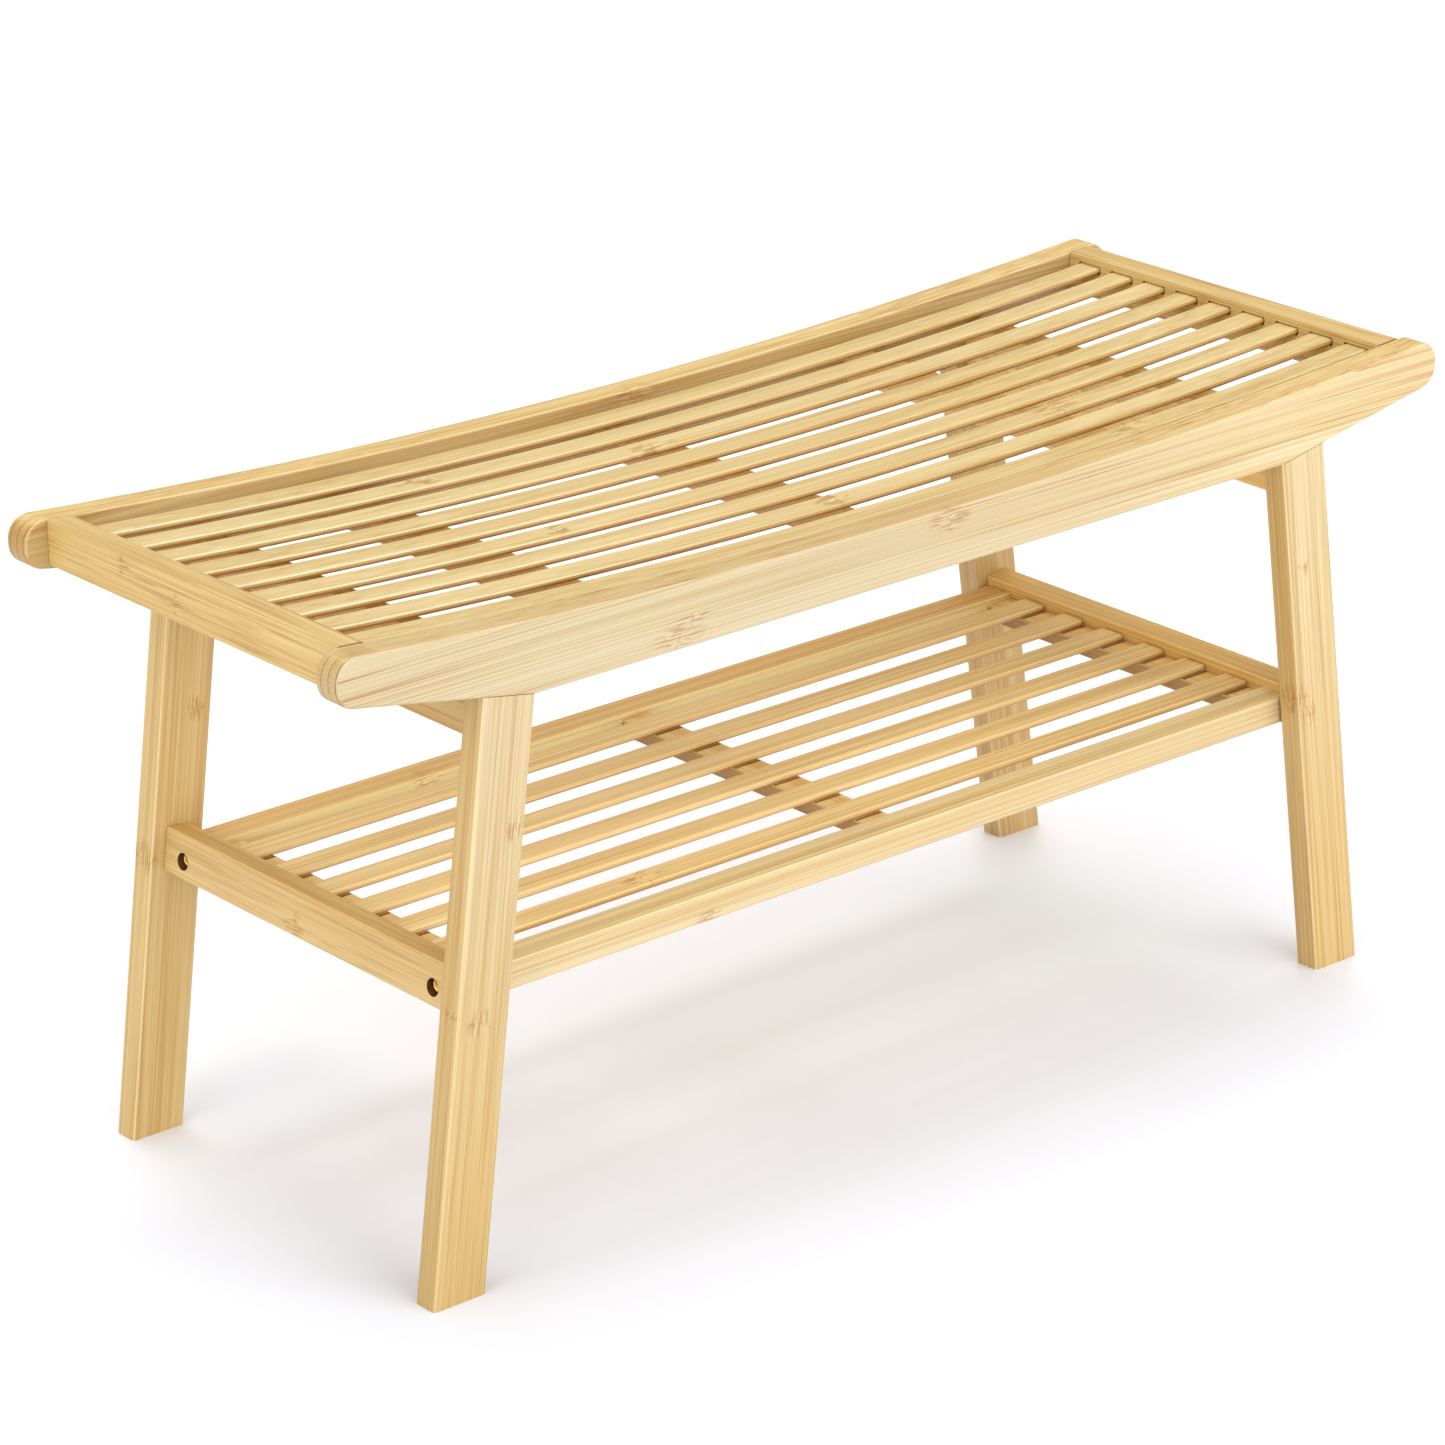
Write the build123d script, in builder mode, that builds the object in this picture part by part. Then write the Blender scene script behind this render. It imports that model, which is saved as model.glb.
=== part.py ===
import os
from math import asin, cos, degrees, radians, sin, sqrt, tan

from build123d import *

os.makedirs("parts", exist_ok=True)

# Overall sizes in millimetres, X along the bench, front at -Y, floor at Z = 0
bench_length = 975.0
bench_depth = 359.0
underside_height = 401.5
foot_inset = 59.5

# Side rails with the dished top edge
rail_thickness = 22.0
rail_middle_height = 41.8
seat_radius = 6240.0
flare_angle = 10.4
nose_radius = 15.5
rail_outer_chamfer = 1.8
rail_inner_chamfer = 0.8

# End rails of the seat
end_rail_setback = 17.3
end_rail_thickness = 20.4
end_rail_height = 32.0
end_rail_round = 2.0

# Legs
leg_splay = 7.4
leg_width = 41.8
leg_thickness = 20.0
leg_round = 2.5

# Cross rails and shelf rails between the legs, with plainer edges on what the seat and shelf cover
frame_rail_thickness = 20.0
frame_rail_height = 32.0
frame_rail_round = 2.0
shelf_rail_level = 205.7
hidden_edge_chamfer = 1.0
cross_rail_gap = 0.5

# Slats of the seat and the shelf
slat_width = 21.5
slat_thickness = 4.8
slat_chamfer = 1.4
seat_slat_count = 9
seat_slat_edge_gap = 10.75
seat_slat_drop = 5.6
slat_tongue = 10.0
socket_gap = 0.7
socket_end_gap = 1.0
shelf_slat_count = 6
shelf_slat_edge_gap = 14.75
shelf_slat_end_gap = 1.2

# Battens under the seat
seat_batten_width = 26.0
seat_batten_height = 17.0
seat_batten_drop = 22.6
seat_batten_spacing = 235.0
fixing_batten_height = 22.5

# Shelf beams and the battens under the shelf slats
beam_inset = 23.0
beam_width = 25.0
beam_height = 20.0
beam_level = 214.0
beam_round = 2.0
shelf_batten_width = 25.5
shelf_batten_height = 11.5

# Tenons, cut back from the faces of their rail by a shoulder
tenon_length = 12.0
tenon_shoulder = 5.0
stub_length = 8.0
stub_shoulder = 4.0
mortise_gap = 0.1
mortise_end_gap = 1.0

# Bolts, screws and threaded inserts
bolt_diameter = 6.0
bolt_shank = 40.0
bolt_hole_gap = 0.3
bolt_head_diameter = 10.0
bolt_head_height = 4.5
counterbore_diameter = 12.0
bolt_recess = 3.6
bolt_end_gap = 1.0
insert_diameter = 8.0
insert_length = 13.0
insert_recess = 1.5
insert_gap = 0.05
thread_gap = 0.05
shelf_bolt_edge = 6.0
seat_screw_spacing = 200.0

# Values that follow from the sizes above
splay_tan = tan(radians(leg_splay))
splay_cos = cos(radians(leg_splay))
splay_sin = sin(radians(leg_splay))
flare_tan = tan(radians(flare_angle))
half_length = bench_length / 2
foot_outer = half_length - foot_inset
foot_inner = foot_outer - leg_width / splay_cos
foot_middle = (foot_outer + foot_inner) / 2
flare_start = foot_inner - underside_height * splay_tan
rail_middle_y = (bench_depth - rail_thickness) / 2
seat_inner_y = bench_depth / 2 - rail_thickness
leg_inner_y = rail_middle_y - leg_thickness / 2
seat_low = underside_height + rail_middle_height
seat_centre = seat_low + seat_radius
end_rail_outer = half_length - end_rail_setback
end_rail_inner = end_rail_outer - end_rail_thickness
end_rail_middle = (end_rail_inner + end_rail_outer) / 2
slat_end = end_rail_inner + slat_tongue
beam_outer_y = bench_depth / 2 - beam_inset
beam_inner_y = beam_outer_y - beam_width
beam_middle_y = (beam_inner_y + beam_outer_y) / 2
beam_underside = beam_level - beam_height
beam_middle_z = beam_level - beam_height / 2
shelf_batten_top = beam_level - slat_thickness
shelf_batten_middle = shelf_batten_top - shelf_batten_height / 2
shelf_rail_middle = shelf_rail_level / splay_cos
seat_slat_pitch = (2 * (seat_inner_y - seat_slat_edge_gap) - slat_width) / (seat_slat_count - 1)
shelf_slat_pitch = (2 * (beam_inner_y - shelf_slat_edge_gap) - slat_width) / (shelf_slat_count - 1)
seat_slat_places = [(n - (seat_slat_count - 1) / 2) * seat_slat_pitch for n in range(seat_slat_count)]
shelf_slat_places = [(n - (shelf_slat_count - 1) / 2) * shelf_slat_pitch for n in range(shelf_slat_count)]
seat_batten_places = [-seat_batten_spacing, 0.0, seat_batten_spacing]


# Height of the dished seat line at x, lowered by a drop
def seat_height(x, drop=0.0):
    return seat_centre - sqrt((seat_radius + drop) ** 2 - x**2)


# Plane square to the dish at the angle that reaches x, with its origin at the centre of the dish
def dish_plane(x, drop):
    lean = asin(x / (seat_radius + drop))
    return Plane(origin=(0, 0, seat_centre), x_dir=(0, 1, 0), z_dir=(cos(lean), 0, sin(lean)))


# Angle of the dish, in degrees, between two places along X
def dish_angle(start, end, drop):
    return degrees(asin(end / (seat_radius + drop)) - asin(start / (seat_radius + drop)))


# Height of the side rail's underside at x, level between the legs and rising beyond them
def underside(x):
    return underside_height + max(0.0, x - flare_start) * flare_tan


# Height at which a line parallel to the leg, starting from foot_x on the floor, meets the underside
def leg_top(foot_x):
    return (underside_height + (foot_x - flare_start) * flare_tan) / (1 + splay_tan * flare_tan)


# Point of the right leg frame: up the middle of the leg, and along the depth of the bench
def frame_point(up, y):
    return (foot_middle - up * splay_sin, y, up * splay_cos)


# Place along X of the inner or outer face of the right shelf rail at a height
def shelf_rail_face(z, outward):
    return foot_middle - z * splay_tan + outward * frame_rail_thickness / 2 / splay_cos


# Middle height of a seat batten at x
def seat_batten_middle(x):
    return seat_height(x, seat_batten_drop) - seat_batten_height / 2


# Name a finished part and write its file
def save(piece, label):
    piece.part.label = label
    export_step(piece.part, f"parts/{label}.step")


# Planes of the two leg frames, X across the leg towards the right and Y up the leg
right_frame = Plane(origin=(foot_middle, 0, 0), x_dir=(splay_cos, 0, splay_sin), z_dir=(0, -1, 0))
left_frame = Plane(origin=(-foot_middle, 0, 0), x_dir=(splay_cos, 0, -splay_sin), z_dir=(0, -1, 0))
cross_rail_drop = frame_rail_thickness / 2 * abs(tan(radians(flare_angle - leg_splay))) + cross_rail_gap
cross_rail_top = leg_top(foot_middle) / splay_cos - cross_rail_drop
cross_rail_bottom = cross_rail_top - frame_rail_height
cross_rail_middle = cross_rail_top - frame_rail_height / 2
fixing_batten_middle = cross_rail_top + fixing_batten_height / 2
end_rail_bottom = seat_height(end_rail_outer) - end_rail_height
dish_axis = Axis((0, 0, seat_centre), (0, -1, 0))
slat_drop_middle = seat_slat_drop + slat_thickness / 2

# Tenons: width and height of each kind
frame_tenon = (frame_rail_thickness - 2 * tenon_shoulder, frame_rail_height - 2 * tenon_shoulder)
end_tenon = (end_rail_thickness - 2 * tenon_shoulder, end_rail_height / 2 - tenon_shoulder)
end_tenon_middle = end_rail_bottom + tenon_shoulder + end_tenon[1] / 2
seat_batten_stub = (seat_batten_width - 2 * stub_shoulder, seat_batten_height - 2 * stub_shoulder)
fixing_batten_stub = (frame_rail_thickness - 2 * stub_shoulder, fixing_batten_height - 2 * stub_shoulder)
shelf_batten_stub = (shelf_batten_width - 2 * stub_shoulder, shelf_batten_height - 2 * stub_shoulder)

# Bolts along X into the front beam, sunk in the slanted outer face of the right shelf rail
shelf_bolt_y = beam_inner_y + shelf_bolt_edge
shelf_bolt_face = shelf_rail_face(beam_middle_z, 1)
shelf_bolt_mouth = counterbore_diameter / 2 * splay_tan
shelf_bolt_plane = Plane(origin=(shelf_bolt_face, -shelf_bolt_y, beam_middle_z), z_dir=(1, 0, 0))
beam_end = shelf_rail_face(beam_middle_z, -1)
shelf_insert_plane = Plane(origin=(beam_end - insert_recess, -shelf_bolt_y, beam_middle_z), z_dir=(1, 0, 0))
shelf_end_batten_x = shelf_rail_face(shelf_batten_top, -1) - shelf_batten_width / 2
shelf_batten_places = [-shelf_end_batten_x, 0.0, shelf_end_batten_x]

# Screws up through the front of the right cross rail into the fixing batten
seat_screw_point = frame_point(cross_rail_bottom, -seat_screw_spacing / 2)
seat_screw_plane = Plane(origin=seat_screw_point, z_dir=(splay_sin, 0, -splay_cos))

# Depth of a sunk head, and of the whole hole, below the face of the rail
head_depth = bolt_recess + bolt_head_height
bolt_hole_depth = head_depth + bolt_shank + bolt_end_gap

# Front side rail: dished top, level underside, flared ends with round noses
with BuildPart() as front_side_rail:
    with BuildSketch(Plane.XZ.offset(rail_middle_y)) as rail_outline:
        with BuildLine():
            ThreePointArc(
                (-half_length, seat_height(half_length)),
                (0, seat_low),
                (half_length, seat_height(half_length)),
            )
            Polyline(
                (half_length, seat_height(half_length)),
                (half_length, underside(half_length)),
                (flare_start, underside_height),
                (-flare_start, underside_height),
                (-half_length, underside(half_length)),
                (-half_length, seat_height(half_length)),
            )
        make_face()
        nose_corners = rail_outline.vertices().group_by(Axis.X)
        nose_height = seat_height(half_length) - underside(half_length)
        fillet(nose_corners[0] + nose_corners[-1], min(nose_radius, 0.475 * nose_height))
    extrude(amount=rail_thickness / 2, both=True)
    chamfer(faces().sort_by(Axis.Y)[0].edges(), rail_outer_chamfer)
    chamfer(faces().sort_by(Axis.Y)[-1].edges(), rail_inner_chamfer)
    with BuildSketch(Plane.XZ.offset(seat_inner_y)):
        with Locations(*[(x, seat_batten_middle(x)) for x in seat_batten_places]):
            Rectangle(seat_batten_stub[0] + 2 * mortise_gap, seat_batten_stub[1] + 2 * mortise_gap)
        with Locations((-end_rail_middle, end_tenon_middle), (end_rail_middle, end_tenon_middle)):
            Rectangle(end_tenon[0] + 2 * mortise_gap, end_tenon[1] + 2 * mortise_gap)
    extrude(amount=stub_length + mortise_end_gap, mode=Mode.SUBTRACT)
    with BuildSketch(left_frame.offset(seat_inner_y), right_frame.offset(seat_inner_y)):
        with Locations((0, fixing_batten_middle)):
            Rectangle(fixing_batten_stub[0] + 2 * mortise_gap, fixing_batten_stub[1] + 2 * mortise_gap)
    extrude(amount=stub_length + mortise_end_gap, mode=Mode.SUBTRACT)
save(front_side_rail, "front_side_rail")

with BuildPart() as back_side_rail:
    mirror(front_side_rail.part, about=Plane.XZ)
save(back_side_rail, "back_side_rail")

# Right end rail: top follows the dish, inner face slotted for the slats, stub tenons at its ends
with BuildPart() as right_end_rail:
    with BuildSketch(Plane.XZ):
        with BuildLine():
            ThreePointArc(
                (end_rail_inner, seat_height(end_rail_inner)),
                (end_rail_middle, seat_height(end_rail_middle)),
                (end_rail_outer, seat_height(end_rail_outer)),
            )
            Polyline(
                (end_rail_outer, seat_height(end_rail_outer)),
                (end_rail_outer, end_rail_bottom),
                (end_rail_inner, end_rail_bottom),
                (end_rail_inner, seat_height(end_rail_inner)),
            )
        make_face()
    extrude(amount=seat_inner_y, both=True)
    fillet(edges().filter_by(Axis.Y), end_rail_round)
    with BuildSketch(Plane.XZ):
        with Locations((end_rail_middle, end_tenon_middle)):
            Rectangle(*end_tenon)
    extrude(amount=seat_inner_y + stub_length, both=True)
    socket_start = end_rail_inner - slat_tongue
    socket_end = slat_end + socket_end_gap
    with BuildSketch(dish_plane(socket_end, slat_drop_middle)):
        with Locations(*[(y, -(seat_radius + slat_drop_middle - socket_gap / 2)) for y in seat_slat_places]):
            Rectangle(slat_width + 2 * socket_gap, slat_thickness + socket_gap)
    socket_angle = dish_angle(socket_start, socket_end, slat_drop_middle)
    revolve(axis=dish_axis, revolution_arc=-socket_angle, mode=Mode.SUBTRACT)
save(right_end_rail, "right_end_rail")

with BuildPart() as left_end_rail:
    mirror(right_end_rail.part, about=Plane.YZ)
save(left_end_rail, "left_end_rail")

# Seat slats: thin strips bent to the dish, ends in the end rails' sockets
for number, y in enumerate(seat_slat_places, 1):
    with BuildPart() as seat_slat:
        with BuildSketch(dish_plane(-slat_end, slat_drop_middle)) as slat_section:
            with Locations((y, -(seat_radius + slat_drop_middle))):
                Rectangle(slat_width, slat_thickness)
            chamfer(slat_section.vertices(), slat_chamfer)
        revolve(axis=dish_axis, revolution_arc=dish_angle(-slat_end, slat_end, slat_drop_middle))
    save(seat_slat, f"seat_slat_{number}")

# Seat battens between the side rails, stub tenons at their ends
for name, x in zip(("left", "middle", "right"), seat_batten_places):
    with BuildPart() as seat_batten:
        with BuildSketch(Plane.XZ):
            with Locations((x, seat_batten_middle(x))):
                Rectangle(seat_batten_width, seat_batten_height)
        extrude(amount=seat_inner_y, both=True)
        chamfer(edges().filter_by(Axis.Y), hidden_edge_chamfer)
        with BuildSketch(Plane.XZ):
            with Locations((x, seat_batten_middle(x))):
                Rectangle(*seat_batten_stub)
        extrude(amount=seat_inner_y + stub_length, both=True)
    save(seat_batten, f"{name}_seat_batten")

# Right fixing batten on the cross rail, bored from below for the seat screws
with BuildPart() as right_fixing_batten:
    with BuildSketch(right_frame):
        with Locations((0, fixing_batten_middle)):
            Rectangle(frame_rail_thickness, fixing_batten_height)
    extrude(amount=seat_inner_y, both=True)
    chamfer(edges().filter_by(Axis.Y), hidden_edge_chamfer)
    with BuildSketch(right_frame):
        with Locations((0, fixing_batten_middle)):
            Rectangle(*fixing_batten_stub)
    extrude(amount=seat_inner_y + stub_length, both=True)
    with Locations(seat_screw_plane):
        Hole(bolt_diameter / 2 + thread_gap, bolt_hole_depth)
    split(bisect_by=Plane.XZ, keep=Keep.TOP)
    mirror(about=Plane.XZ)
save(right_fixing_batten, "right_fixing_batten")

with BuildPart() as left_fixing_batten:
    mirror(right_fixing_batten.part, about=Plane.YZ)
save(left_fixing_batten, "left_fixing_batten")

# Legs: splayed along the bench, tops cut to the flare of the side rails, mortised for the frame rails
with BuildPart() as front_right_leg:
    with BuildSketch(Plane.XZ.offset(rail_middle_y)):
        with BuildLine():
            Polyline(
                (foot_outer, 0),
                (foot_inner, 0),
                (flare_start, underside_height),
                (foot_outer - leg_top(foot_outer) * splay_tan, leg_top(foot_outer)),
                close=True,
            )
        make_face()
    extrude(amount=leg_thickness / 2, both=True)
    fillet(edges().filter_by(Axis((0, 0, 0), (-splay_sin, 0, splay_cos))), leg_round)
    with BuildSketch(right_frame.offset(leg_inner_y)):
        with Locations((0, cross_rail_middle), (0, shelf_rail_middle)):
            Rectangle(frame_tenon[0] + 2 * mortise_gap, frame_tenon[1] + 2 * mortise_gap)
    extrude(amount=tenon_length + mortise_end_gap, mode=Mode.SUBTRACT)
save(front_right_leg, "front_right_leg")

with BuildPart() as front_left_leg:
    mirror(front_right_leg.part, about=Plane.YZ)
save(front_left_leg, "front_left_leg")

with BuildPart() as back_right_leg:
    mirror(front_right_leg.part, about=Plane.XZ)
save(back_right_leg, "back_right_leg")

with BuildPart() as back_left_leg:
    mirror(front_left_leg.part, about=Plane.XZ)
save(back_left_leg, "back_left_leg")

# Right cross rail under the seat, tenoned into the legs, bored for the sunk seat screws
with BuildPart() as right_cross_rail:
    with BuildSketch(right_frame):
        with Locations((0, cross_rail_middle)):
            Rectangle(frame_rail_thickness, frame_rail_height)
    extrude(amount=leg_inner_y, both=True)
    chamfer(edges().filter_by(Axis.Y), hidden_edge_chamfer)
    with BuildSketch(right_frame):
        with Locations((0, cross_rail_middle)):
            Rectangle(*frame_tenon)
    extrude(amount=leg_inner_y + tenon_length, both=True)
    with Locations(seat_screw_plane):
        CounterBoreHole(bolt_diameter / 2 + bolt_hole_gap, counterbore_diameter / 2, head_depth, bolt_hole_depth)
    split(bisect_by=Plane.XZ, keep=Keep.TOP)
    mirror(about=Plane.XZ)
save(right_cross_rail, "right_cross_rail")

with BuildPart() as left_cross_rail:
    mirror(right_cross_rail.part, about=Plane.YZ)
save(left_cross_rail, "left_cross_rail")

# Right shelf rail, tenoned into the legs, with sunk bolt holes in its outer face
with BuildPart() as right_shelf_rail:
    with BuildSketch(right_frame):
        with Locations((0, shelf_rail_middle)):
            Rectangle(frame_rail_thickness, frame_rail_height)
    extrude(amount=leg_inner_y, both=True)
    fillet(edges().filter_by(Axis.Y), frame_rail_round)
    with BuildSketch(right_frame):
        with Locations((0, shelf_rail_middle)):
            Rectangle(*frame_tenon)
    extrude(amount=leg_inner_y + tenon_length, both=True)
    with Locations(shelf_bolt_plane.offset(shelf_bolt_mouth)):
        CounterBoreHole(
            bolt_diameter / 2 + bolt_hole_gap,
            counterbore_diameter / 2,
            head_depth + shelf_bolt_mouth,
            bolt_hole_depth,
        )
    split(bisect_by=Plane.XZ, keep=Keep.TOP)
    mirror(about=Plane.XZ)
save(right_shelf_rail, "right_shelf_rail")

with BuildPart() as left_shelf_rail:
    mirror(right_shelf_rail.part, about=Plane.YZ)
save(left_shelf_rail, "left_shelf_rail")

# Front shelf beam: ends cut to the splay to butt on the shelf rails, bored for the inserts
with BuildPart() as front_shelf_beam:
    with BuildSketch(Plane.XZ.offset(beam_middle_y)):
        with BuildLine():
            Polyline(
                (-shelf_rail_face(beam_level, -1), beam_level),
                (shelf_rail_face(beam_level, -1), beam_level),
                (shelf_rail_face(beam_underside, -1), beam_underside),
                (-shelf_rail_face(beam_underside, -1), beam_underside),
                close=True,
            )
        make_face()
    extrude(amount=beam_width / 2, both=True)
    fillet(edges().filter_by(Axis.X), beam_round)
    with BuildSketch(Plane.XZ.offset(beam_inner_y)):
        with Locations((0, shelf_batten_middle)):
            Rectangle(shelf_batten_stub[0] + 2 * mortise_gap, shelf_batten_stub[1] + 2 * mortise_gap)
    extrude(amount=stub_length + mortise_end_gap, mode=Mode.SUBTRACT)
    with Locations(shelf_bolt_plane):
        Hole(insert_diameter / 2 + insert_gap, bolt_hole_depth)
    split(bisect_by=Plane.YZ, keep=Keep.TOP)
    mirror(about=Plane.YZ)
save(front_shelf_beam, "front_shelf_beam")

with BuildPart() as back_shelf_beam:
    mirror(front_shelf_beam.part, about=Plane.XZ)
save(back_shelf_beam, "back_shelf_beam")

# Shelf slats: straight strips lying on the shelf battens
shelf_slat_end = shelf_rail_face(beam_level, -1) - shelf_slat_end_gap
for number, y in enumerate(shelf_slat_places, 1):
    with BuildPart() as shelf_slat:
        with BuildSketch(Plane.YZ) as slat_section:
            with Locations((y, shelf_batten_top + slat_thickness / 2)):
                Rectangle(slat_width, slat_thickness)
            chamfer(slat_section.vertices(), slat_chamfer)
        extrude(amount=shelf_slat_end, both=True)
    save(shelf_slat, f"shelf_slat_{number}")

# Shelf battens between the beams, the outer two beside the shelf rails
for name, x in zip(("left", "middle", "right"), shelf_batten_places):
    with BuildPart() as shelf_batten:
        with BuildSketch(Plane.XZ):
            with Locations((x, shelf_batten_middle)):
                Rectangle(shelf_batten_width, shelf_batten_height)
        extrude(amount=beam_inner_y, both=True)
        chamfer(edges().filter_by(Axis.Y), hidden_edge_chamfer)
        if x == 0.0:
            with BuildSketch(Plane.XZ):
                with Locations((x, shelf_batten_middle)):
                    Rectangle(*shelf_batten_stub)
            extrude(amount=beam_inner_y + stub_length, both=True)
    save(shelf_batten, f"{name}_shelf_batten")

# Shelf bolts and seat screws, heads sunk in their rails
for label, face_plane in (("shelf_bolts", shelf_bolt_plane), ("seat_screws", seat_screw_plane)):
    with BuildPart() as bolts:
        with BuildSketch(face_plane.offset(-bolt_recess)):
            Circle(bolt_head_diameter / 2)
        extrude(amount=-bolt_head_height)
        with BuildSketch(face_plane.offset(-head_depth)):
            Circle(bolt_diameter / 2)
        extrude(amount=-bolt_shank)
        mirror(about=Plane.YZ)
        mirror(about=Plane.XZ)
    save(bolts, label)

# Threaded inserts of the shelf bolts, in the ends of the beams
with BuildPart() as shelf_inserts:
    with BuildSketch(shelf_insert_plane):
        Circle(insert_diameter / 2)
        Circle(bolt_diameter / 2 + thread_gap, mode=Mode.SUBTRACT)
    extrude(amount=-insert_length)
    mirror(about=Plane.YZ)
    mirror(about=Plane.XZ)
save(shelf_inserts, "shelf_inserts")
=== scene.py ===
import math

import bmesh
import bpy
from mathutils import Euler, Matrix, Vector


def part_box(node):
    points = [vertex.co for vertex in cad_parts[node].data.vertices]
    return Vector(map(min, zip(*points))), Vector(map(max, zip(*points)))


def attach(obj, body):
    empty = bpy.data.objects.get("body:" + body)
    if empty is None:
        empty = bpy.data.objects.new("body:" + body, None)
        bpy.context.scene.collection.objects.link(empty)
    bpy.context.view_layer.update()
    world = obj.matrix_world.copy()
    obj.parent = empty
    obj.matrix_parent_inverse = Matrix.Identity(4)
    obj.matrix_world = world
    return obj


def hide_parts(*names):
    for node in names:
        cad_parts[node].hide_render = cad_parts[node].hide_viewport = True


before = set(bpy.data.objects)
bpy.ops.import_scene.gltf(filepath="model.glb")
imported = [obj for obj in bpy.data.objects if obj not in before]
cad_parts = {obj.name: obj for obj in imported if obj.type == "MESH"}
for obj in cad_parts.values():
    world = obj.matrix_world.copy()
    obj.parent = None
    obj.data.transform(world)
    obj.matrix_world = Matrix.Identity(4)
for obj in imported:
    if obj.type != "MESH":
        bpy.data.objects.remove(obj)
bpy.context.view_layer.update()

# Legs: four splayed lengths of laminated bamboo, tenoned at the top into the side rails of the seat. Their
# long edges are rounded over and carry a painted pale highlight, and like all the bamboo here they are
# sealed with a clear satin lacquer.


class Wire:
    """A socket of a node tree that can be used in sums."""

    def __init__(self, tree, socket=None):
        self.tree = tree
        self.socket = socket

    def node(self, kind, settings=None, sockets=None, output=0):
        made = self.tree.nodes.new(kind)
        for name, value in (settings or {}).items():
            if name == "stops":
                ramp = made.color_ramp
                while len(ramp.elements) < len(value):
                    ramp.elements.new(1.0)
                for element, (place, colour) in zip(ramp.elements, value):
                    element.position = place
                    element.color = (*colour, 1.0)
            else:
                setattr(made, name, value)
        for key, value in (sockets or {}).items():
            if isinstance(value, Wire):
                self.tree.links.new(value.socket, made.inputs[key])
            else:
                made.inputs[key].default_value = value
        return Wire(self.tree, made.outputs[output])

    def feed(self, node, key):
        """Lead this socket into an input of a node."""
        self.tree.links.new(self.socket, node.inputs[key])

    def parts(self):
        """X, Y and Z of a vector."""
        split = self.node("ShaderNodeSeparateXYZ", None, {0: self}).socket.node
        return [Wire(self.tree, split.outputs[axis]) for axis in range(3)]

    def math(self, operation, *others):
        sockets = dict(enumerate((self, *others)))
        return self.node("ShaderNodeMath", {"operation": operation}, sockets)

    def __add__(self, other):
        return self.math("ADD", other)

    def __sub__(self, other):
        return self.math("SUBTRACT", other)

    def __rsub__(self, other):
        return self.node("ShaderNodeMath", {"operation": "SUBTRACT"}, {0: other, 1: self})

    def __mul__(self, other):
        return self.math("MULTIPLY", other)

    def __truediv__(self, other):
        return self.math("DIVIDE", other)

    def __abs__(self):
        return self.math("ABSOLUTE")

    __radd__ = __add__
    __rmul__ = __mul__

    def larger(self, other):
        return self.math("MAXIMUM", other)

    def fade(self, start, end):
        """0 at start, 1 at end, smooth in between."""
        low, high = min(start, end), max(start, end)
        sockets = {"Value": self, "From Min": low, "From Max": high}
        rising = self.node("ShaderNodeMapRange", {"interpolation_type": "SMOOTHSTEP"}, sockets)
        return rising if start < end else 1.0 - rising

    def blend(self, factor, colour, kind="MIX"):
        """This colour with a fixed one laid over it."""
        settings = {"data_type": "RGBA", "blend_type": kind}
        return self.node("ShaderNodeMix", settings, {0: factor, 6: self, 7: (*colour, 1.0)}, 2)


def tinted(colour, gain):
    return tuple(min(1.0, part * change) for part, change in zip(colour, gain))


def blank(name):
    """A new material: itself, its shader, a wire for its nodes and the place on the piece."""
    material = bpy.data.materials.new(name)
    material.use_nodes = True
    wire = Wire(material.node_tree)
    place = wire.node("ShaderNodeTexCoord", output=3)
    return material, material.node_tree.nodes["Principled BSDF"], wire, place


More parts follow.
